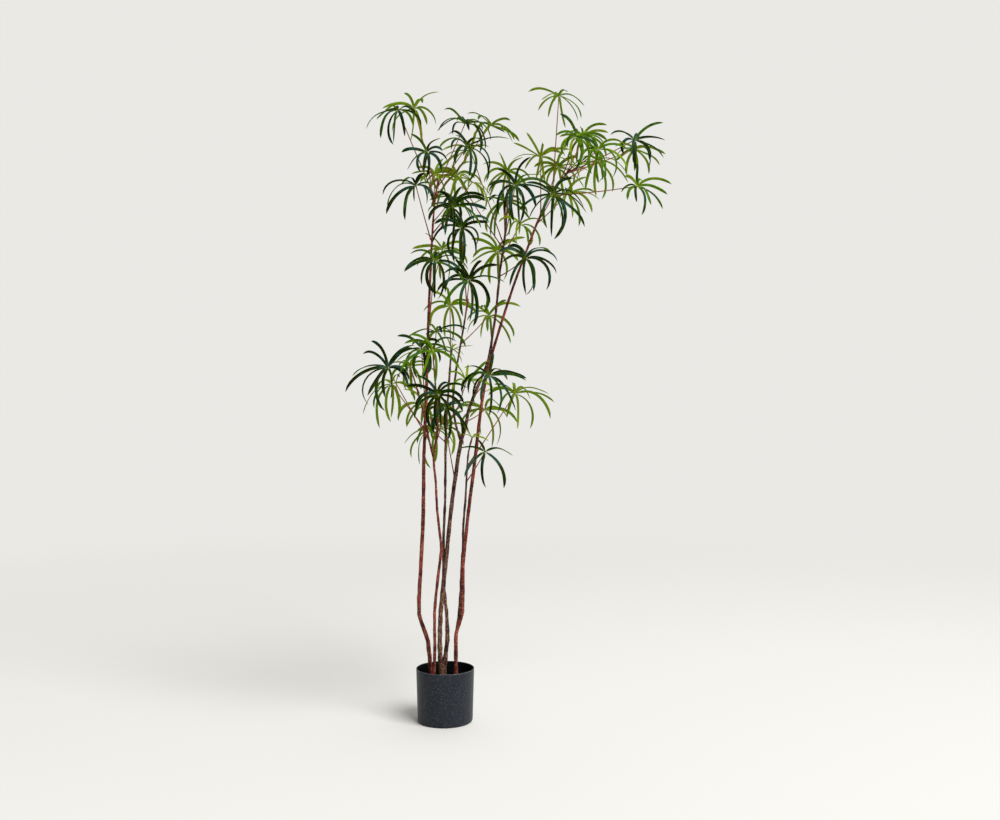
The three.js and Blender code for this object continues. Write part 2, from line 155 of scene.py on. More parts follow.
class NodeGraph:
    """The nodes of a material or of the world."""

    def __init__(self, tree: NodeTree) -> None:
        """Wrap a node tree."""
        self.tree = tree

    def node(self, kind: str, settings: dict | None = None, inputs: dict | None = None) -> Node:
        """Add a node.

        Args:
            kind: The node's type.
            settings: Its properties, and "stops" for the stops of a colour ramp.
            inputs: Numbers, colours or links for its sockets, by name or place.

        Returns:
            The new node.
        """
        made = self.tree.nodes.new(kind)
        for key, value in (settings or {}).items():
            if key == "stops":
                self._set_stops(made.color_ramp, value)
            else:
                setattr(made, key, value)
        for key, value in (inputs or {}).items():
            self.feed(made.inputs[key], value)
        return made

    @staticmethod
    def _set_stops(ramp: ColorRamp, stops: Stops) -> None:
        """Give a colour ramp its stops."""
        while len(ramp.elements) < len(stops):
            ramp.elements.new(1.0)
        for element, (place, colour) in zip(ramp.elements, stops):
            element.position = place
            element.color = (*colour, 1.0)

    def feed(self, socket: NodeSocket, value: object) -> None:
        """Set a socket to a number or colour, or link it.

        Args:
            socket: The input socket.
            value: A signal, an output socket, a number or a colour.
        """
        if isinstance(value, Signal):
            self.tree.links.new(value.socket, socket)
        elif isinstance(value, NodeSocket):
            self.tree.links.new(value, socket)
        elif isinstance(value, tuple) and len(value) == 3 and socket.type == "RGBA":
            socket.default_value = (*value, 1.0)
        else:
            socket.default_value = value


class Shader(NodeGraph):
    """The nodes of one material, round its Principled shader."""

    def __init__(self, name: str) -> None:
        """Start a material."""
        self.material = bpy.data.materials.new(name)
        self.material.use_nodes = True
        super().__init__(self.material.node_tree)
        self.surface = self.tree.nodes["Principled BSDF"]

    def place(self, scale: Triple = (1.0, 1.0, 1.0)) -> NodeSocket:
        """The point in the frame, in metres, stretched by a scale."""
        here = self.node("ShaderNodeTexCoord").outputs["Object"]
        inputs = {"Vector": here, "Scale": scale}
        return self.node("ShaderNodeMapping", {}, inputs).outputs[0]

    def height(self) -> Signal:
        """The height above the ground, in metres."""
        parts = self.node("ShaderNodeSeparateXYZ", {}, {0: self.place()})
        return Signal(self, parts.outputs["Z"])

    def attribute(self, name: str) -> Signal:
        """A number that the mesh carries."""
        made = self.node("ShaderNodeAttribute", {"attribute_name": name})
        return Signal(self, made.outputs["Fac"])

    def noise(self, scale: float, detail: float = 3.0, stretch: Triple = (1.0, 1.0, 1.0)) -> Signal:
        """Cloudy noise from 0 to 1.

        Args:
            scale: Lumps for each metre.
            detail: Octaves.
            stretch: A factor on the scale along each axis.

        Returns:
            The noise.
        """
        inputs = {"Vector": self.place(stretch), "Scale": scale, "Detail": detail}
        made = self.node("ShaderNodeTexNoise", {}, inputs)
        return Signal(self, made.outputs["Fac"])

    def cells(self, scale: float) -> Signal:
        """The distance to the nearest of many scattered points."""
        inputs = {"Vector": self.place(), "Scale": scale}
        return Signal(self, self.node("ShaderNodeTexVoronoi", {}, inputs).outputs["Distance"])

    def ramp(self, value: Signal, stops: Stops) -> NodeSocket:
        """Turn a number into a colour."""
        made = self.node("ShaderNodeValToRGB", {"stops": stops}, {0: value})
        return made.outputs["Color"]

    def mix(self, share: Signal | float, a: object, b: object) -> NodeSocket:
        """Blend two colours.

        Args:
            share: How much of b.
            a: A colour or a link.
            b: A colour or a link.

        Returns:
            The blended colour.
        """
        made = self.node("ShaderNodeMix", {"data_type": "RGBA"})
        colours = [s for s in made.inputs if s.type == "RGBA"]
        self.feed(made.inputs[0], share)
        self.feed(colours[0], a)
        self.feed(colours[1], b)
        return next(s for s in made.outputs if s.type == "RGBA")

    def bump(self, height: Signal, distance: float, strength: float = 1.0) -> None:
        """Give the surface relief.

        Args:
            height: The relief, from 0 to 1.
            distance: The height in metres that 1 stands for.
            strength: A factor on the effect.
        """
        inputs = {"Height": height, "Distance": distance, "Strength": strength}
        made = self.node("ShaderNodeBump", {}, inputs)
        self.feed(self.surface.inputs["Normal"], made.outputs["Normal"])

    def finish(self, **sockets: object) -> Material:
        """Set the Principled shader's sockets and return the material.

        Args:
            sockets: Values by socket name, with _ for a space.

        Returns:
            The finished material.
        """
        for name, value in sockets.items():
            self.feed(self.surface.inputs[name.replace("_", " ")], value)
        return self.material


# ---- finishes


@dataclass(frozen=True)
class PotPlastic:
    """Charcoal moulded plastic with a satin skin and fine pale dust on it."""

    name: str
    body: Colour
    dust: float
    scuffed_and_glinting_above: float
    speck: Colour = (0.210, 0.240, 0.280)
    grains: float = 390.0
    clouds: float = 28.0
    speck_share: float = 0.26
    cloud_share: float = 0.05
    scuff_and_glint_share: float = 0.55
    scuff_and_glint_fade: float = 1.0 * MM
    relief: float = 0.12 * MM
    roughness: float = 0.34
    gloss: float = 0.18

    def material(self) -> Material:
        """Make the material. Its edge is scuffed above a height, in metres, and the pale scuffs
        there are partly a painted highlight on the rim.
        """
        shader = Shader(self.name)
        grain = shader.noise(self.grains)
        cloud = shader.noise(self.clouds, 4.0)
        specks = grain.step(0.57, 0.66)
        # Pale marks round the rim: partly scuffed plastic, partly a painted highlight on the rim's
        # edge.
        rim = shader.height().step(self.scuffed_and_glinting_above, self.scuffed_and_glinting_above + self.scuff_and_glint_fade)
        scuffs_and_glints = rim * grain.step(0.42, 0.58)
        dust = (specks * self.speck_share + cloud * self.cloud_share) * self.dust
        colour = shader.mix(dust + scuffs_and_glints * self.scuff_and_glint_share, self.body, self.speck)
        shader.bump(grain, self.relief, 0.5)
        return shader.finish(
            Base_Color=colour,
            Roughness=cloud * 0.14 + self.roughness,
            Specular_IOR_Level=self.gloss,
        )


POT_OUTSIDE = PotPlastic("pot_plastic", (0.0095, 0.013, 0.0195), dust=1.0, scuffed_and_glinting_above=0.150)
# The inside has less dust, and its much darker plastic is painted shade inside the cup.
POT_INSIDE_SHADED = PotPlastic("pot_lining_painted_shade", (0.0018, 0.0022, 0.0032), dust=0.25, scuffed_and_glinting_above=0.155)


@dataclass(frozen=True)
class PottingSoil:
    """Dark, crumbly potting soil."""

    dark: Colour = (0.010, 0.007, 0.005)
    light: Colour = (0.115, 0.074, 0.046)
    crumbs: float = 420.0
    clods: float = 90.0
    relief: float = 1.2 * MM

    def material(self) -> Material:
        """Make the material."""
        shader = Shader("potting_soil")
        crumb = shader.noise(self.crumbs, 6.0)
        clod = shader.noise(self.clods)
        colour = shader.mix(crumb.step(0.42, 0.70) * clod, self.dark, self.light)
        shader.bump(crumb, self.relief)
        return shader.finish(Base_Color=colour, Roughness=0.93, Specular_IOR_Level=0.1)


@dataclass(frozen=True)
class Bark:
    """Bark with long streaks, scattered pale specks and faint rings."""

    name: str
    shade: Colour
    skin: Colour
    bright: Colour
    speck: Colour
    speck_share: float
    crust_top: float
    crust_full: float = 0.12
    crust_share: float = 0.5
    ring_share: float = 0.34
    pit_shade_share: float = 0.45
    streaks: float = 190.0
    patches: float = 48.0
    grains: float = 300.0
    freckles: float = 165.0
    rings: float = 46.0
    relief: float = 0.9 * MM
    roughness: float = 0.55

    def material(self) -> Material:
        """Make the material. The crust is thick up to crust_full and ends at crust_top."""
        shader = Shader(self.name)
        streak = shader.noise(self.streaks, 4.0, (1.0, 1.0, 0.16))
        patch = shader.noise(self.patches, 3.0, (1.0, 1.0, 0.5))
        grit = shader.noise(self.grains, 3.0, (1.0, 1.0, 0.7))
        crust = shader.height().step(self.crust_top, self.crust_full)
        # The bark's tone follows the streaks and is darker where its relief is lower: partly its
        # own streaky colour, partly painted shade in the grooves.
        colour = shader.ramp(
            streak * 0.65 + patch * 0.35,
            [(0.40, self.shade), (0.5, self.skin), (0.63, self.bright)],
        )
        lichen = grit.step(0.57, 0.64) * patch.step(0.40, 0.58)
        freckles = shader.cells(self.freckles).step(0.31, 0.20)
        rings = shader.noise(self.rings, 2.0, (0.4, 0.4, 3.2)).step(0.60, 0.68) * grit
        pale = lichen * (crust * self.crust_share + self.speck_share)
        pale += freckles * self.speck_share + rings * self.ring_share
        # Darker where the relief is lowest, more so near the foot: painted shade in the pits.
        pit_shade = grit.step(0.44, 0.34) * (crust * 0.4 + self.pit_shade_share)
        colour = shader.mix(pit_shade, colour, self.shade)
        colour = shader.mix(pale, colour, self.speck)
        shader.bump(streak * 0.6 + grit * 0.4, self.relief, 0.8)
        return shader.finish(
            Base_Color=colour,
            Roughness=grit * 0.25 + self.roughness,
            Specular_IOR_Level=0.15,
        )


RED_BARK = Bark(
    name="red_bark",
    shade=(0.034, 0.008, 0.007),
    skin=(0.146, 0.019, 0.016),
    bright=(0.300, 0.046, 0.036),
    speck=(0.640, 0.360, 0.160),
    speck_share=0.38,
    crust_top=0.26,
)
DARK_BARK = Bark(
    name="dark_bark",
    shade=(0.018, 0.008, 0.007),
    skin=(0.086, 0.029, 0.025),
    bright=(0.160, 0.070, 0.055),
    speck=(0.560, 0.400, 0.200),
    speck_share=0.42,
    crust_top=0.55,
)


@dataclass(frozen=True)
class LeafBlade:
    """The skin of a leaflet. The mesh's tone runs from 0, old and dark, to 1, just unfolded."""

    name: str
    stops: tuple[tuple[float, Colour], ...]
    vein: Colour
    vein_share: float
    margin_highlight_share: float
    patch_and_sheen: Colour
    patch_and_sheen_share: float
    roughness: float
    gloss: float
    mottles: float = 70.0
    fibres: float = 900.0
    patch_and_sheen_scale: float = 22.0
    uneven: float = 0.6
    root_share: float = 0.6
    relief: float = 0.25 * MM

    def material(self) -> Material:
        """Make the material."""
        shader = Shader(self.name)
        across = abs(shader.attribute("across"))
        along = shader.attribute("along")
        mottle = shader.noise(self.mottles, 4.0)
        fibre = shader.noise(self.fibres, 2.0)
        tone = shader.attribute("tone") + (mottle - 0.5) * self.uneven
        colour = shader.ramp(tone, list(self.stops))
        # Patches of a blue-green tint on the darker tones: on the upper side they are a painted
        # sheen, on the underside a faint green tint.
        patch_and_sheen = shader.noise(self.patch_and_sheen_scale, 2.0).step(0.52, 0.62) * tone.step(0.60, 0.25)
        colour = shader.mix(patch_and_sheen * self.patch_and_sheen_share, colour, self.patch_and_sheen)
        midrib = across.step(0.16, 0.02) * (1 - along * 0.5)
        root = along.step(0.13, 0.02) * (tone.step(0.05, 0.50) * 0.75 + 0.25)
        # The upper side is paler towards both margins: a painted highlight along the leaflet's
        # edges.
        edge = across.step(0.72, 1.0) * self.margin_highlight_share
        pale = midrib * self.vein_share + root * (1 - midrib) * self.root_share + edge
        colour = shader.mix(pale, colour, self.vein)
        shader.bump(fibre * 0.3 + midrib, self.relief, 0.6)
        return shader.finish(
            Base_Color=colour,
            Roughness=mottle * 0.18 + self.roughness,
            Specular_IOR_Level=self.gloss,
        )


LEAF_TOP = LeafBlade(
    name="leaf_top",
    stops=(
        (0.0, (0.001, 0.003, 0.001)),
        (0.3, (0.003, 0.029, 0.003)),
        (0.65, (0.080, 0.195, 0.003)),
        (1.0, (0.320, 0.420, 0.010)),
    ),
    vein=(0.190, 0.300, 0.004),
    vein_share=0.42,
    margin_highlight_share=0.36,
    # The blue-green patches on the upper side are a painted sheen.
    patch_and_sheen=(0.012, 0.058, 0.058),
    patch_and_sheen_share=0.78,
    roughness=0.42,
    gloss=0.03,
)
LEAF_UNDER = LeafBlade(
    name="leaf_under",
    stops=(
        (0.0, (0.064, 0.165, 0.004)),
        (0.4, (0.140, 0.255, 0.004)),
        (1.0, (0.290, 0.400, 0.020)),
    ),
    vein=(0.290, 0.380, 0.030),
    vein_share=0.5,
    margin_highlight_share=0.0,
    patch_and_sheen=(0.060, 0.150, 0.020),
    patch_and_sheen_share=0.2,
    roughness=0.55,
    gloss=0.02,
)


@dataclass(frozen=True)
class LeafStalk:
    """A stalk that turns from red-brown at its foot to green at the hub, darker on old leaves."""

    foot: Colour = (0.120, 0.026, 0.012)
    middle: Colour = (0.240, 0.070, 0.022)
    top: Colour = (0.260, 0.340, 0.010)
    old_top: Colour = (0.020, 0.060, 0.006)
    old_share: float = 0.8
    grains: float = 260.0
    uneven: float = 0.12

    def material(self) -> Material:
        """Make the material."""
        shader = Shader("leaf_stalk")
        grain = shader.noise(self.grains)
        along = shader.attribute("along") + (grain - 0.5) * self.uneven
        colour = shader.ramp(
            along,
            [(0.0, self.foot), (0.55, self.middle), (0.86, self.middle), (0.97, self.top)],
        )
        old = shader.attribute("tone").step(0.45, 0.15) * along.step(0.88, 0.98)
        colour = shader.mix(old * self.old_share, colour, self.old_top)
        rough = grain * 0.2 + 0.4
        return shader.finish(Base_Color=colour, Roughness=rough, Specular_IOR_Level=0.15)


# ---- pieces


def mesh_of(name: str, bm: BMesh) -> Mesh:
    """Turn a bmesh into a mesh, and free it."""
    mesh = bpy.data.meshes.new(name)
    bm.to_mesh(mesh)
    bm.free()
    return mesh


def placed(name: str, data: bpy.types.ID) -> Object:
    """Put a mesh, lamp or camera in the scene as an object at the origin."""
    made = bpy.data.objects.new(name, data)
    bpy.context.scene.collection.objects.link(made)
    return made


def add_piece(name: str, bm: BMesh, materials: list[Material], node: str) -> None:
    """Turn a bmesh into a piece at the origin that rides on the root body.

    Args:
        name: The piece's name.
        bm: Its shape, which is freed.
        materials: Its materials, in the order of the faces' indices.
        node: The CAD node that it stands for.
    """
    mesh = mesh_of(name, bm)
    for material in materials:
        mesh.materials.append(material)
    piece = placed(name, mesh)
    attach(piece, BODY)
    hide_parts(node)
    LOG.info("%s: %d faces", name, len(mesh.polygons))


def merged_copy(node: str) -> BMesh:
    """A copy of a CAD node's mesh with its loose triangles joined."""
    bm = bmesh.new()
    bm.from_mesh(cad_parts[node].data)
    bmesh.ops.remove_doubles(bm, verts=bm.verts, dist=2e-6)
    bm.verts.ensure_lookup_table()
    return bm


def faces_round(verts: Iterable[BMVert]) -> list[BMFace]:
    """The faces that touch some vertices, each once and always in the same order."""
    return list(dict.fromkeys(f for v in verts for f in v.link_faces))


@dataclass
class Path:
    """A smooth line through evenly spaced points."""

    points: list[Vector]

    def at(self, t: float) -> Vector:
        """The point at t, from 0 to 1, on the polynomial through the points."""
        last = len(self.points) - 1
        place = Vector()
        for i, point in enumerate(self.points):
            weight = 1.0
            for j in range(last + 1):
                if j != i:
                    weight *= (t * last - j) / (i - j)
            place += point * weight
        return place

    def tangent(self, t: float) -> Vector:
        """The direction at t."""
        reach = 0.01
        return (self.at(t + reach) - self.at(t - reach)).normalized()


@dataclass
class LeafletLine:
    """A leaflet's middle line with its width direction at the root and its upper side."""

    path: Path
    side: Vector
    length: float


@dataclass
class Spray:
    """The leaflets that spread from one hub, as read from a CAD node."""

    hub: Vector
    leaflets: list[LeafletLine]
    used: set[int]

    SHORTEST = 4 * MM

    @classmethod
    def read(cls, bm: BMesh) -> "Spray":
        """Find the leaflets by walking from each tip towards the hub, ring by ring.

        Args:
            bm: The merged copy of a CAD node.

        Returns:
            The spray.
        """
        leaflets, used = [], set()
        for tip in bm.verts:
            if len(tip.link_edges) != 3:
                continue
            near = cls._next_ring([tip], set())
            far = cls._next_ring(near, {tip})
            if len(near) != 3 or len(far) != 3:
                continue
            if (near[0].co - tip.co).length < cls.SHORTEST:
                continue
            leaflets.append(cls._line(tip, near, far))
            used.update(v.index for v in [tip, *near, *far])
        hub = mean(line.path.points[0] for line in leaflets)
        return cls(hub, leaflets, used)

    @staticmethod
    def _next_ring(ring: list[BMVert], before: set[BMVert]) -> list[BMVert]:
        """The neighbours of a ring that lie on the side away from before."""
        around = {e.other_vert(v) for v in ring for e in v.link_edges}
        return sorted(around - set(ring) - before, key=lambda v: v.index)

    @staticmethod
    def _frame(ring: list[BMVert]) -> tuple[Vector, Vector, Vector]:
        """The middle of a ring's flat upper edge, the edge's direction and the way up."""
        corners = [v.co for v in ring]
        keel = min(corners, key=lambda c: sum((c - other).length for other in corners))
        left, right = [c for c in corners if c is not keel]
        middle = (left + right) / 2
        return middle, (right - left).normalized(), (middle - keel).normalized()

    @classmethod
    def _line(cls, tip: BMVert, near: list[BMVert], far: list[BMVert]) -> LeafletLine:
        """The leaflet's line from its tip and two rings, carried on to its root as an arc."""
        outer, _, _ = cls._frame(near)
        inner, side, up = cls._frame(far)
        first, second = outer - inner, tip.co - outer
        bend = min(first.normalized().dot(second.normalized()), 1.0)
        root = inner - (first * (2 * bend) - second)
        forward = (inner - root).normalized()
        if side.cross(forward).dot(up) < 0:
            side = -side
        length = first.length + second.length + (inner - root).length
        return LeafletLine(Path([root, inner, outer, tip.co.copy()]), side, length)

    def axis(self) -> Vector:
        """The direction that the leaflets spread round, on the side that faces up."""
        axis = Vector()
        for line in self.leaflets:
            forward = line.path.tangent(0.1)
            axis += line.side.cross(forward)
        return axis.normalized()


class Tone(Enum):
    """How old a leaf is, which sets its colour."""

    DARK = 0.05
    GREEN = 0.48
    YOUNG = 0.78
    BUD = 0.95


DARK_LEAVES = {1, 3, 4, 5, 7, 8, 11, 12, 14, 18, 19, 21, 23, 26, 27, 32, 34, 35, 37, 41, 49, 52}
YOUNG_LEAVES = {10, 16, 20, 29, 42}


@dataclass(frozen=True)
class Station:
    """A place on a line with its directions: forward, to the side and up."""

    place: Vector
    forward: Vector
    side: Vector
    up: Vector


@dataclass(frozen=True)
class LeafletShape:
    """The proportions of a leaflet's strap."""

    half: float = 4.1 * MM
    slimmest: float = 0.76
    neck: float = 0.46
    flare_end: float = 0.12
    taper_start: float = 0.84
    fold: float = 0.50
    thickness: float = 0.40 * MM
    rib: float = 0.35 * MM
    lengthwise: int = 10
    sway: float = 0.06
    wave: float = 0.028
    roll: float = 0.40
    twist: float = 1.0
    broadest: float = 1.08
    old_breadth: float = 1.14
    young_loss: float = 0.3
    mixed_tones: float = 0.15
    lit_leaflet_share: float = 0.20
    painted_light_boost: float = 0.32

    def half_at(self, t: float) -> float:
        """Half the width at t, from the root to the tip."""
        flare = self.neck + (1 - self.neck) * smooth(t / self.flare_end)
        point = min((1 - t) / (1 - self.taper_start), 1.0) ** 0.55
        return self.half * flare * max(point, 0.08)


@dataclass
class Foliage:
    """The mesh of a leaf or a tuft while it grows: leaflets, hub and stalk."""

    rng: random.Random
    tone: float
    shape: LeafletShape = field(default_factory=LeafletShape)
    bm: BMesh = field(default_factory=bmesh.new)

    TOP, UNDER, STALK = range(3)
    HUB_RADIUS, HUB_SQUASH = 3.5 * MM, 0.62
    STALK_SIDES = 8

    def __post_init__(self) -> None:
        """Add the numbers that the finishes read."""
        for name in ("along", "across", "tone"):
            self.bm.verts.layers.float.new(name)

    def grow(self, spray: Spray) -> None:
        """Grow a spray's leaflets and its hub."""
        for line in spray.leaflets:
            self.leaflet(line)
        self.hub(spray.hub, spray.axis())

    def _dress_stalk(self, verts: list[BMVert], along: float) -> None:
        """Give vertices their place along the stalk, and their faces the stalk's finish."""
        layers = self.bm.verts.layers.float
        for v in verts:
            v[layers["along"]], v[layers["tone"]] = along, self.tone
        for f in faces_round(verts):
            f.material_index, f.smooth = self.STALK, True

    def leaflet(self, line: LeafletLine) -> None:
        """Grow a leaflet: a strap folded along its midrib that arches over to a fine tip.

        Args:
            line: The leaflet's line in the frame.
        """
        shape, stations = self.shape, self._stations(line)
        tone = self.tone + self.rng.uniform(-shape.mixed_tones, shape.mixed_tones)
        # Some leaflets, chosen at random, are made paler: painted light standing in for leaflets
        # that are lit.
        if self.rng.random() < shape.lit_leaflet_share:
            tone += shape.painted_light_boost * (1 - self.tone)
        breadth = self.rng.uniform(shape.slimmest, shape.broadest)
        breadth *= shape.old_breadth - shape.young_loss * self.tone
        rows = shape.lengthwise
        made = bmesh.ops.create_grid(self.bm, x_segments=2, y_segments=rows, size=0.5)
        grid, layers = made["verts"], self.bm.verts.layers.float
        for v in grid:
            x, i = 2 * v.co.x, round((v.co.y + 0.5) * rows)
            t, here = i / rows, stations[i]
            half = shape.half_at(t) * breadth
            sink = shape.fold * half * (1 - abs(x))
            v.co = here.place + here.side * (x * half) - here.up * sink
            v[layers["across"]], v[layers["along"]], v[layers["tone"]] = x, t, tone
        upper = faces_round(grid)
        bmesh.ops.recalc_face_normals(self.bm, faces=upper)
        middle = stations[rows // 2]
        if sum(f.normal.dot(middle.up) for f in upper) < 0:
            bmesh.ops.reverse_faces(self.bm, faces=upper)
        made = bmesh.ops.solidify(self.bm, geom=upper, thickness=shape.thickness)["geom"]
        self._dress_strap(upper, made, stations)

    def _stations(self, line: LeafletLine) -> list[Station]:
        """The places along a leaflet, with a slight sway and twist of its own."""
        shape = self.shape
        sway = self.rng.uniform(-shape.sway, shape.sway) * line.length
        wave = self.rng.uniform(-shape.wave, shape.wave) * line.length
        roll = self.rng.uniform(-shape.roll, shape.roll)
        twist = self.rng.uniform(-shape.twist, shape.twist)
        stations = []
        for i in range(shape.lengthwise + 1):
            t = i / shape.lengthwise
            forward = line.path.tangent(t)
            side = (line.side - forward * line.side.dot(forward)).normalized()
            up = side.cross(forward)
            swing = side * (sway * math.sin(math.pi * t))
            dip = up * (wave * math.sin(math.tau * t))
            turn = Matrix.Rotation(roll * smooth(t * 5) + twist * t, 3, forward)
            stations.append(Station(line.path.at(t) + swing + dip, forward, turn @ side, turn @ up))
        return stations

    def _dress_strap(self, upper: list[BMFace], made: list, stations: list[Station]) -> None:
        """Give the faces their finishes and the underside its rib.

        Args:
            upper: The faces the strap started with.
            made: What solidify returned.
            stations: The places along the leaflet.
        """
        layers = self.bm.verts.layers.float
        skin = upper + [g for g in made if isinstance(g, BMFace)]
        strap = faces_round(v for f in skin for v in f.verts)
        for f in strap:
            f.normal_update()
            t = sum(v[layers["along"]] for v in f.verts) / len(f.verts)
            here = stations[round(t * self.shape.lengthwise)]
            f.material_index = self.TOP if f.normal.dot(here.up) > 0.3 else self.UNDER
            f.smooth = True
        for v in {v for f in strap for v in f.verts}:
            below = all(f.material_index == self.UNDER for f in v.link_faces)
            if below and abs(v[layers["across"]]) < 0.5:
                t = v[layers["along"]]
                v.co -= stations[round(t * self.shape.lengthwise)].up * (self.shape.rib * (1 - t))
        for e in {e for f in strap for e in f.edges}:
            e.smooth = len({f.material_index for f in e.link_faces}) == 1

    def hub(self, centre: Vector, axis: Vector) -> None:
        """Grow the small knob where the leaflets meet.

        Args:
            centre: Its middle.
            axis: Its short direction.
        """
        turn = UP.rotation_difference(axis).to_matrix().to_4x4()
        squash = Matrix.Diagonal((1, 1, self.HUB_SQUASH, 1))
        where, size = Matrix.Translation(centre) @ turn @ squash, self.HUB_RADIUS
        made = bmesh.ops.create_icosphere(self.bm, subdivisions=2, radius=size, matrix=where)
        self._dress_stalk(made["verts"], 1.0)

    def stalk(self, stations: Line) -> None:
        """Grow the stalk from its foot to the hub.

        Args:
            stations: Each place with its radius.
        """
        rings = sweep(self.bm, stations, self.STALK_SIDES)
        for i, ring in enumerate(rings):
            self._dress_stalk(ring, i / (len(rings) - 1))


def sweep(bm: BMesh, stations: Line, sides: int) -> list[list[BMVert]]:
    """Extrude a circle from place to place and close its ends.

    Args:
        bm: The mesh to add to.
        stations: Each place with its radius.
        sides: Corners of the circle.

    Returns:
        The rings of vertices.
    """
    places = [place for place, _ in stations]
    rings, frames = [], []
    turn = Matrix.Identity(3)
    heading = UP
    for i, (place, radius) in enumerate(stations):
        ahead = places[min(i + 1, len(places) - 1)] - places[max(i - 1, 0)]
        turn = heading.rotation_difference(ahead).to_matrix() @ turn
        heading = ahead
        size = Matrix.Scale(radius, 4)
        frames.append(Matrix.Translation(place) @ turn.to_4x4() @ size)
        if i == 0:
            ring = bmesh.ops.create_circle(
                bm, cap_ends=False, segments=sides, radius=1.0, matrix=frames[0]
            )["verts"]
            edges = first = list(dict.fromkeys(e for v in ring for e in v.link_edges))
        else:
            made = bmesh.ops.extrude_edge_only(bm, edges=edges)["geom"]
            ring = [g for g in made if isinstance(g, BMVert)]
            held = set(ring)
            edges = [g for g in made if isinstance(g, BMEdge) and set(g.verts) <= held]
            step = frames[i] @ frames[i - 1].inverted()
            bmesh.ops.transform(bm, matrix=step, verts=ring)
        rings.append(ring)
    for rim in (first, edges):
        bmesh.ops.contextual_create(bm, geom=rim)
    skin = faces_round(v for ring in rings for v in ring)
    bmesh.ops.recalc_face_normals(bm, faces=skin)
    return rings


# ---- stems


def remeshed(bm: BMesh, voxel: float) -> BMesh:
    """Make one even skin of small squares round a closed shape.

    Args:
        bm: The shape, which is freed.
        voxel: The size of the squares in metres.

    Returns:
        The new skin.
    """
    mesh = mesh_of("coarse", bm)
    coarse = placed("coarse", mesh)
    remesh = coarse.modifiers.new("skin", "REMESH")
    remesh.mode, remesh.voxel_size, remesh.adaptivity = "VOXEL", voxel, 0.0
    fine = evaluated_bmesh(coarse)
    bpy.data.objects.remove(coarse)
    bpy.data.meshes.remove(mesh)
    return fine


def evaluated_bmesh(piece: Object) -> BMesh:
    """A bmesh of an object with its modifiers applied."""
    graph = bpy.context.evaluated_depsgraph_get()
    fine = bmesh.new()
    fine.from_object(piece, graph)
    return fine


@dataclass
class Stem:
    """One grown stem, with its branches and the young tuft at its tip."""

    node: str
    bark: Bark
    seed: int
    crust: float = 0.0

    VOXEL = 1.25 * MM
    SMOOTHING = (0.5, -0.526) * 7
    TIP_RADIUS = 1.9 * MM
    HUB_REACH = 7.5 * MM
    # How many for each metre, across and along the stem
    RIDGES, LUMPS, SCARS = (190, 24), (75, 45), 42
    # How far each stands out, in millimetres
    SWELL, RIDGE, LUMP, SCAR = 0.75, 0.42, 0.8, 0.4
    # The stems get smoother towards SLIM_HEIGHT, and rough bark is lumpier near its foot
    SLIMMING, SLIM_HEIGHT = 0.55, 1.5
    FOOT_HEIGHT, FOOT_FADE = 0.34, 0.22

    def __post_init__(self) -> None:
        """Read the CAD node: the tuft's leaflets, and the bare stem that carries them."""
        self.bare = merged_copy(self.node)
        self.tuft = Spray.read(self.bare)
        used, hub = self.tuft.used, self.tuft.hub
        verts, near = self.bare.verts, self.HUB_REACH
        doomed = [v for v in verts if v.index in used or (v.co - hub).length < near]
        bmesh.ops.delete(self.bare, geom=doomed, context="VERTS")
        self._carry_on_to_hub()
        self.surface = BVHTree.FromBMesh(self.bare)

    def _rim(self) -> list[BMEdge]:
        """The edges round the stem's open end."""
        return [e for e in self.bare.edges if len(e.link_faces) == 1]

    def _carry_on_to_hub(self) -> None:
        """Extend the stem's open end to the tuft's hub and close it."""
        made = bmesh.ops.extrude_edge_only(self.bare, edges=self._rim())["geom"]
        ring = [g for g in made if isinstance(g, BMVert)]
        middle = mean(v.co for v in ring)
        radius = sum((v.co - middle).length for v in ring) / len(ring)
        move = (
            Matrix.Translation(self.tuft.hub)
            @ Matrix.Scale(self.TIP_RADIUS / radius, 4)
            @ Matrix.Translation(-middle)
        )
        bmesh.ops.transform(self.bare, matrix=move, verts=ring)
        bmesh.ops.holes_fill(self.bare, edges=self._rim())
        bmesh.ops.recalc_face_normals(self.bare, faces=self.bare.faces)

    def _noise(self, place: Vector, across: float, along: float) -> float:
        """Noise with so many lumps for each metre across and along the stem."""
        x, y, z = place
        return noise.noise(Vector((x * across, y * across, z * along + self.seed)))

    def relief(self, place: Vector) -> float:
        """How far the bark stands out at a place, in metres."""
        ridges = self._noise(place, *self.RIDGES) * (self.RIDGE + self.crust * 0.14)
        low = smooth((self.FOOT_HEIGHT - place.z) / self.FOOT_FADE)
        lumps = self._noise(place, *self.LUMPS)
        lumps *= self.LUMP + self.crust * (0.5 + 1.0 * low)
        scars = noise.noise(Vector((self.seed * 7.3, 0.5, place.z * self.SCARS)))
        scar = smooth((abs(scars) - 0.28) * 6) * self.SCAR
        swell = self.SWELL * (1 + 0.6 * low * self.crust)
        slim = 1 - self.SLIMMING * smooth(place.z / self.SLIM_HEIGHT)
        return slim * MM * (swell + ridges + lumps + scar)

    def build(self, materials: list[Material]) -> None:
        """Make the stem with its relief.

        Args:
            materials: The bark.
        """
        bm = remeshed(self.bare.copy(), self.VOXEL)
        axes = {f"use_axis_{axis}": True for axis in "xyz"}
        for factor in self.SMOOTHING:
            bmesh.ops.smooth_vert(bm, verts=bm.verts, factor=factor, **axes)
        bm.normal_update()
        for v in bm.verts:
            v.co += v.normal * self.relief(v.co)
        for f in bm.faces:
            f.smooth = True
        add_piece(f"{self.node}_bark", bm, materials, self.node)


# ---- leaves


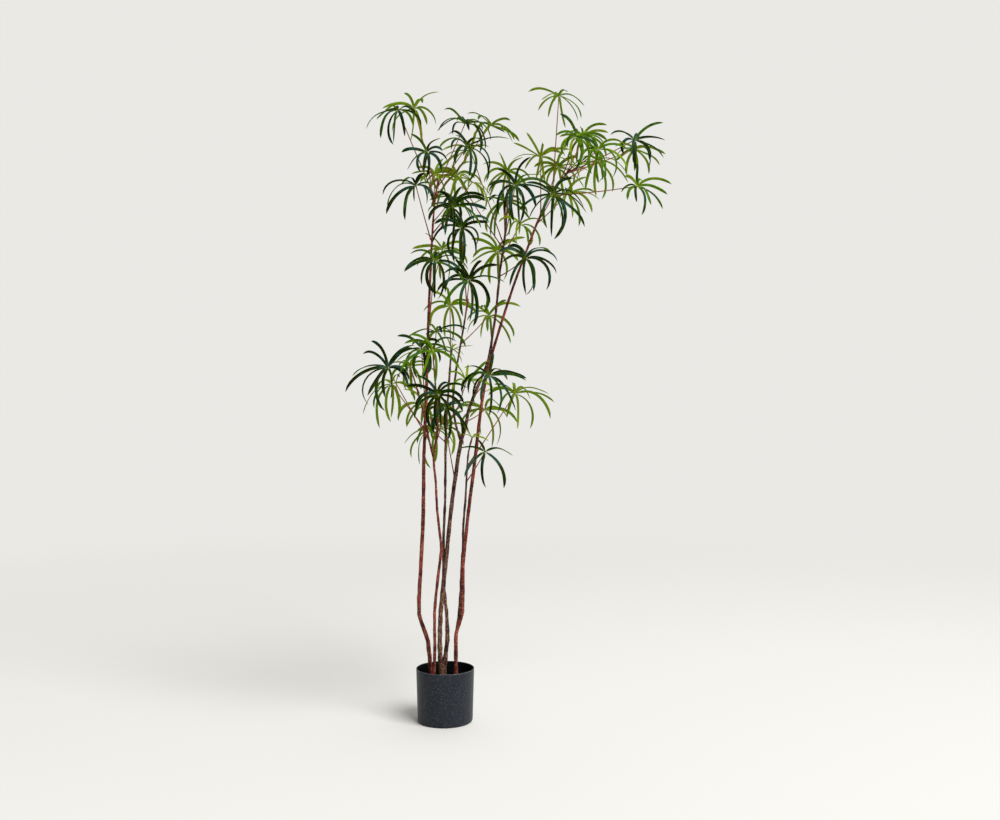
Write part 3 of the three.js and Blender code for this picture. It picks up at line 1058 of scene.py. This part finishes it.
@dataclass
class Leaf:
    """One leaf: its stalk from the stem to the hub, and its leaflets."""

    number: int

    STEPS = 10
    FOOT_RADIUS = 1.75 * MM
    TOP_RADIUS = 1.20 * MM
    FLARE = 1.3 * MM
    TOP_SWELL = 0.5 * MM
    SUNK = 1.2 * MM
    FOOT_ZONE = 4 * MM
    FOOT_REACH = 5 * MM
    MIDDLE_ZONE = (0.3, 0.8)

    @property
    def node(self) -> str:
        """The CAD node's name."""
        return f"leaf_{self.number:02d}"

    def tone(self) -> Tone:
        """The leaf's age."""
        if self.number in DARK_LEAVES:
            return Tone.DARK
        return Tone.YOUNG if self.number in YOUNG_LEAVES else Tone.GREEN

    def _stalk_path(self, bm: BMesh, spray: Spray) -> Path:
        """The stalk's line from its foot, where it is farthest from the hub, to the hub."""
        rest = [v.co for v in bm.verts if v.index not in spray.used]
        reach = max((co - spray.hub).length for co in rest)
        low, high = (share * reach for share in self.MIDDLE_ZONE)
        foot = mean(co for co in rest if (co - spray.hub).length > reach - self.FOOT_ZONE)
        middle = mean(co for co in rest if low < (co - spray.hub).length < high)
        return Path([foot, middle, spray.hub.copy()])

    def _stalk_stations(self, path: Path, stems: list[Stem]) -> Line:
        """The stalk's places and radii, starting inside the nearest stem."""
        lower = path.at(0) - path.tangent(0) * self.FOOT_REACH
        found = [stem.surface.find_nearest(lower) for stem in stems]
        place, normal, _, _ = min(found, key=lambda hit: hit[3])
        stations = [
            (place - normal * self.SUNK, self.FOOT_RADIUS + self.FLARE),
            (place.lerp(path.at(0), 0.5), self.FOOT_RADIUS + self.FLARE * 0.6),
        ]
        for i in range(self.STEPS + 1):
            t = i / self.STEPS
            flare = self.FLARE * 0.3 * (1 - smooth(t * 8))
            radius = self.FOOT_RADIUS + (self.TOP_RADIUS - self.FOOT_RADIUS) * t
            swell = self.TOP_SWELL * smooth((t - 0.88) * 9)
            stations.append((path.at(t), radius + flare + swell))
        return stations

    def build(self, stems: list[Stem], materials: list[Material]) -> None:
        """Make the leaf.

        Args:
            stems: The stems it may grow on.
            materials: The upper side, the underside and the stalk.
        """
        bm = merged_copy(self.node)
        spray = Spray.read(bm)
        path = self._stalk_path(bm, spray)
        bm.free()
        foliage = Foliage(random.Random(self.number), self.tone().value)
        foliage.grow(spray)
        foliage.stalk(self._stalk_stations(path, stems))
        add_piece(f"{self.node}_blades", foliage.bm, materials, self.node)


@dataclass
class Tuft:
    """The young leaflets at a stem's tip."""

    stem: Stem
    shape: LeafletShape = field(
        default_factory=lambda: LeafletShape(half=3.2 * MM, flare_end=0.3, taper_start=0.5)
    )

    def build(self, materials: list[Material]) -> None:
        """Make the tuft.

        Args:
            materials: The upper side, the underside and the stalk.
        """
        spray = self.stem.tuft
        rng = random.Random(self.stem.seed)
        foliage = Foliage(rng, Tone.BUD.value, self.shape)
        foliage.grow(spray)
        node = self.stem.node
        add_piece(f"{node}_tuft", foliage.bm, materials, node)


# ---- pot and soil


def arc(
    centre: tuple[float, float], radius: float, start: float, end: float, steps: int
) -> Profile:
    """Points on an arc in the plane of radius and height.

    Args:
        centre: Its middle.
        radius: Its radius.
        start: The first angle in degrees.
        end: The last angle in degrees.
        steps: Its segments.

    Returns:
        The points.
    """
    angles = (math.radians(start + (end - start) * i / steps) for i in range(steps + 1))
    x, z = centre
    return [(x + radius * math.cos(a), z + radius * math.sin(a)) for a in angles]


def turned(profile: Profile, steps: int) -> BMesh:
    """Turn a profile that starts and ends on the axis into a closed round shape.

    Args:
        profile: Points of radius and height.
        steps: Segments of the full turn.

    Returns:
        The shape.
    """
    bm = bmesh.new()
    verts = [bm.verts.new((r, 0, z)) for r, z in profile]
    edges = [bm.edges.new(pair) for pair in zip(verts, verts[1:])]
    geom = verts + edges
    bmesh.ops.spin(bm, geom=geom, axis=UP, angle=math.tau, steps=steps, use_merge=True)
    bmesh.ops.remove_doubles(bm, verts=bm.verts, dist=0.01 * MM)
    bmesh.ops.recalc_face_normals(bm, faces=bm.faces)
    return bm


@dataclass
class Pot:
    """The round nursery pot, a thin moulded cup with drainage holes."""

    wall: float = 2.0 * MM
    floor: float = 2.5 * MM
    foot_rounding: float = 6.5 * MM
    holes: int = 6
    hole_radius: float = 4.5 * MM
    holes_ring: float = 46.0 * MM
    steps: int = 144

    # Heights of the wall's rings, in millimetres
    SIDE_RINGS = range(15, 150, 15)
    INSIDE_RINGS = range(140, 15, -20)
    SHARP = math.radians(40)
    FOOT_ZONE = 8 * MM

    def __post_init__(self) -> None:
        """Read the pot's outer sizes from the frame."""
        _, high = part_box("pot")
        self.height = high.z
        self.rim_radius = high.x
        places = [v.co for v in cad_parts["pot"].data.vertices]
        self.base_radius = max(co.xy.length for co in places if co.z < self.FOOT_ZONE)

    def radius_at(self, z: float) -> float:
        """The outer radius at a height."""
        return self.base_radius + (self.rim_radius - self.base_radius) * z / self.height

    def profile(self) -> Profile:
        """The section from the middle of the underside round to the middle of the floor."""
        rounding, wall = self.foot_rounding, self.wall
        foot = (self.radius_at(rounding) - rounding, rounding)
        rim = (self.rim_radius - wall / 2, self.height - wall / 2)
        side = [(self.radius_at(z * MM), z * MM) for z in self.SIDE_RINGS]
        inside = [(self.radius_at(z * MM) - wall, z * MM) for z in self.INSIDE_RINGS]
        return [
            (0, 0),
            (self.holes_ring * 0.5, 0),
            *arc(foot, rounding, -90, 0, 8),
            *side,
            *arc(rim, wall / 2, 0, 180, 8),
            *inside,
            *arc((foot[0], rounding + self.floor), rounding - wall, 0, -90, 6),
            (self.holes_ring * 0.5, self.floor),
            (0, self.floor),
        ]

    def build(self, materials: list[Material]) -> None:
        """Make the pot.

        Args:
            materials: The plastic outside, and the plastic inside, which is darkened as painted
                shade.
        """
        body = placed("cup", mesh_of("cup", turned(self.profile(), self.steps)))
        drill = self._drill()
        cut = body.modifiers.new("drain", "BOOLEAN")
        cut.operation, cut.solver, cut.object = "DIFFERENCE", "EXACT", drill
        bm = evaluated_bmesh(body)
        for spare in (body, drill):
            bpy.data.objects.remove(spare)
        for f in bm.faces:
            f.smooth = True
            middle = f.calc_center_median()
            depth = self.radius_at(middle.z) - middle.xy.length
            # The faces inside the cup take the darker lining, which is painted shade.
            f.material_index = depth > 0.9 * self.wall and middle.z > self.floor / 2
        for e in bm.edges:
            e.smooth = e.calc_face_angle(0.0) < self.SHARP
        add_piece("pot_shell", bm, materials, "pot")

    def _drill(self) -> Object:
        """The rods that cut the drainage holes."""
        bm = bmesh.new()
        for i in range(self.holes):
            turn = Matrix.Rotation(math.tau * i / self.holes, 4, "Z")
            where = turn @ Matrix.Translation((self.holes_ring, 0, 0))
            size = {"radius1": self.hole_radius, "radius2": self.hole_radius}
            size["depth"] = 6 * self.floor
            bmesh.ops.create_cone(bm, cap_ends=True, segments=24, matrix=where, **size)
        return placed("drill", mesh_of("drill", bm))


@dataclass
class Soil:
    """The potting soil: an uneven, crumbly surface with loose crumbs on it."""

    pot: Pot
    rings: int = 34
    steps: int = 120
    crumbs: int = 620
    seed: int = 11
    gap: float = 0.4 * MM
    dome: float = 3 * MM
    clods: float = 1.6 * MM
    grit: float = 0.9 * MM
    settled: float = 0.6 * MM

    CLOD_SCALE, GRIT_SCALE = 60, 260

    def __post_init__(self) -> None:
        """Read the soil's height from the frame."""
        low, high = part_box("soil")
        self.bottom, self.crown = low.z, high.z
        self.level = self.crown - self.dome

    def top_at(self, x: float, y: float) -> float:
        """The height of the surface."""
        away = math.hypot(x, y) / self.pot.radius_at(self.level)
        dome = self.crown - (self.crown - self.level) * away * away
        clods = noise.noise(Vector((x, y, 0)) * self.CLOD_SCALE + UP * 1.7) * self.clods
        grit = noise.noise(Vector((x, y, 0)) * self.GRIT_SCALE + UP * 4.1) * self.grit
        return dome + clods + grit - self.settled

    def build(self, material: Material) -> None:
        """Make the soil.

        Args:
            material: The soil's finish.
        """
        wall = self.pot.wall + self.gap
        edge = self.pot.radius_at(self.level) - wall
        foot = self.pot.radius_at(self.pot.foot_rounding * 2) - wall
        inner = self.pot.radius_at(0) - wall - self.pot.foot_rounding
        surface = [(edge * i / self.rings, self.level) for i in range(self.rings, 0, -1)]
        profile = [
            (0, self.bottom),
            (inner, self.bottom),
            (foot, self.bottom + self.pot.foot_rounding * 2),
            *surface,
            (0, self.level),
        ]
        bm = turned(profile, self.steps)
        for v in bm.verts:
            if v.co.z > self.level - MM:
                v.co.z = self.top_at(v.co.x, v.co.y)
        self._scatter(bm, edge)
        for f in bm.faces:
            f.smooth = True
        add_piece("soil_bed", bm, [material], "soil")

    def _scatter(self, bm: BMesh, edge: float) -> None:
        """Lay loose crumbs on the surface.

        Args:
            bm: The soil's mesh.
            edge: The surface's radius.
        """
        rng = random.Random(self.seed)
        for _ in range(self.crumbs):
            size = rng.uniform(0.7, 2.6) * MM * rng.uniform(0.7, 1.0)
            away = (edge - 2 * size) * math.sqrt(rng.random())
            angle = rng.uniform(0, math.tau)
            x, y = away * math.cos(angle), away * math.sin(angle)
            spot = Vector((x, y, self.top_at(x, y) + size * 0.2))
            turn = Matrix.Rotation(rng.uniform(0, math.tau), 4, Vector((x, y, 1)))
            shape = Matrix.Diagonal(
                (rng.uniform(0.7, 1.4), rng.uniform(0.6, 1.1), rng.uniform(0.5, 0.9), 1)
            )
            where = Matrix.Translation(spot) @ turn @ shape
            bmesh.ops.create_icosphere(bm, subdivisions=1, radius=size, matrix=where)


# ---- studio


@dataclass(frozen=True)
class Studio:
    """A plain pale floor that fades into the backdrop, soft light and the camera."""

    backdrop: Colour = (0.823, 0.815, 0.783)
    floor: Colour = (0.800, 0.795, 0.780)
    floor_size: float = 60.0
    fade: tuple[float, float] = (1.2, 5.0)
    ambient: tuple[float, float] = (0.24, 1.12)
    brightest: Triple = (0.45, 0.89, 0.0)
    camera_place: Triple = (0.157, -3.05, 0.8905)
    lens: float = 38.3
    key_place: Triple = (8.7, -9.4, 15.2)
    key_size: float = 11.5
    key_power: float = 4150.0
    key_colour: Colour = (1.0, 0.99, 0.975)
    middle: Triple = (0.1, 0, 0.8)

    def build(self) -> None:
        """Make the stage."""
        self._floor()
        self._world()
        self._key()
        camera = bpy.data.cameras.new("camera")
        camera.lens, camera.sensor_width = self.lens, 36.0
        holder = placed("camera", camera)
        holder.location = self.camera_place
        holder.rotation_euler = (math.radians(90), 0, 0)
        bpy.context.scene.camera = holder
        bpy.context.scene.view_settings.view_transform = "Standard"

    def _floor(self) -> None:
        """The floor, which turns into the backdrop's colour far away."""
        bm = bmesh.new()
        bmesh.ops.create_grid(bm, x_segments=8, y_segments=8, size=self.floor_size)
        shader = Shader("studio_floor")
        here = shader.node("ShaderNodeTexCoord").outputs["Object"]
        away = shader.node("ShaderNodeVectorMath", {"operation": "LENGTH"}, {0: here})
        fade = Signal(shader, away.outputs["Value"]).step(*self.fade)
        shader.finish(Base_Color=self.floor, Roughness=0.9, Specular_IOR_Level=0.1)
        glow = shader.node("ShaderNodeEmission", {}, {"Color": self.backdrop})
        inputs = {0: fade, 1: shader.surface.outputs[0], 2: glow.outputs[0]}
        blend = shader.node("ShaderNodeMixShader", {}, inputs)
        output = shader.tree.nodes["Material Output"]
        shader.feed(output.inputs["Surface"], blend.outputs[0])
        plane = placed("floor", mesh_of("floor", bm))
        plane.data.materials.append(shader.material)
        plane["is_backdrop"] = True

    def _world(self) -> None:
        """A pale backdrop. The light it gives is strongest from one side."""
        world = bpy.data.worlds.new("studio")
        world.use_nodes = True
        graph = NodeGraph(world.node_tree)
        direction = graph.node("ShaderNodeTexCoord").outputs["Generated"]
        facing = graph.node(
            "ShaderNodeVectorMath",
            {"operation": "DOT_PRODUCT"},
            {0: direction, 1: self.brightest},
        )
        low, high = self.ambient
        light = graph.node(
            "ShaderNodeMapRange",
            {"interpolation_type": "SMOOTHSTEP"},
            {"Value": facing.outputs["Value"], "From Min": -0.3, "To Min": low, "To Max": high},
        )
        seen = graph.node("ShaderNodeLightPath").outputs["Is Camera Ray"]
        inputs = {"Value": seen, "To Min": light.outputs["Result"]}
        strength = graph.node("ShaderNodeMapRange", {}, inputs)
        background = world.node_tree.nodes["Background"]
        graph.feed(background.inputs["Color"], self.backdrop)
        graph.feed(background.inputs["Strength"], strength.outputs["Result"])
        bpy.context.scene.world = world

    def _key(self) -> None:
        """A large, far lamp that points at the plant's middle."""
        lamp = bpy.data.lights.new("key", "AREA")
        lamp.size, lamp.energy, lamp.color = self.key_size, self.key_power, self.key_colour
        holder = placed("key", lamp)
        holder.location = self.key_place
        aim = Vector(self.middle) - Vector(self.key_place)
        holder.rotation_euler = aim.to_track_quat("-Z", "Y").to_euler()


# ---- assembly


def corners(bounds: tuple[Vector, Vector]) -> list[list[float]]:
    """A box's corners as plain lists."""
    return [list(corner) for corner in bounds]


def main() -> None:
    """Build every piece round the fixed frame."""
    logging.basicConfig(level=logging.INFO, format="%(message)s", force=True)
    cad_box = corners(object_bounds())
    Studio().build()
    blades = [LEAF_TOP.material(), LEAF_UNDER.material(), LeafStalk().material()]
    red, dark = RED_BARK.material(), DARK_BARK.material()
    pot = Pot()
    pot.build([POT_OUTSIDE.material(), POT_INSIDE_SHADED.material()])
    stems = [
        Stem("stem_left", RED_BARK, 1),
        Stem("stem_slender", RED_BARK, 2),
        Stem("stem_twin", DARK_BARK, 3, crust=1.0),
        Stem("stem_back", DARK_BARK, 4, crust=0.4),
        Stem("stem_right", RED_BARK, 5),
    ]
    for stem in stems:
        stem.build([red if stem.bark is RED_BARK else dark])
        Tuft(stem).build(blades)
    Soil(pot).build(PottingSoil().material())
    leaf_count = sum(name.startswith("leaf_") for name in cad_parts)
    for number in range(1, leaf_count + 1):
        Leaf(number).build(stems, blades)
    {"cad": cad_box, "visual": corners(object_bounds())}


if __name__ == "__main__":
    main()
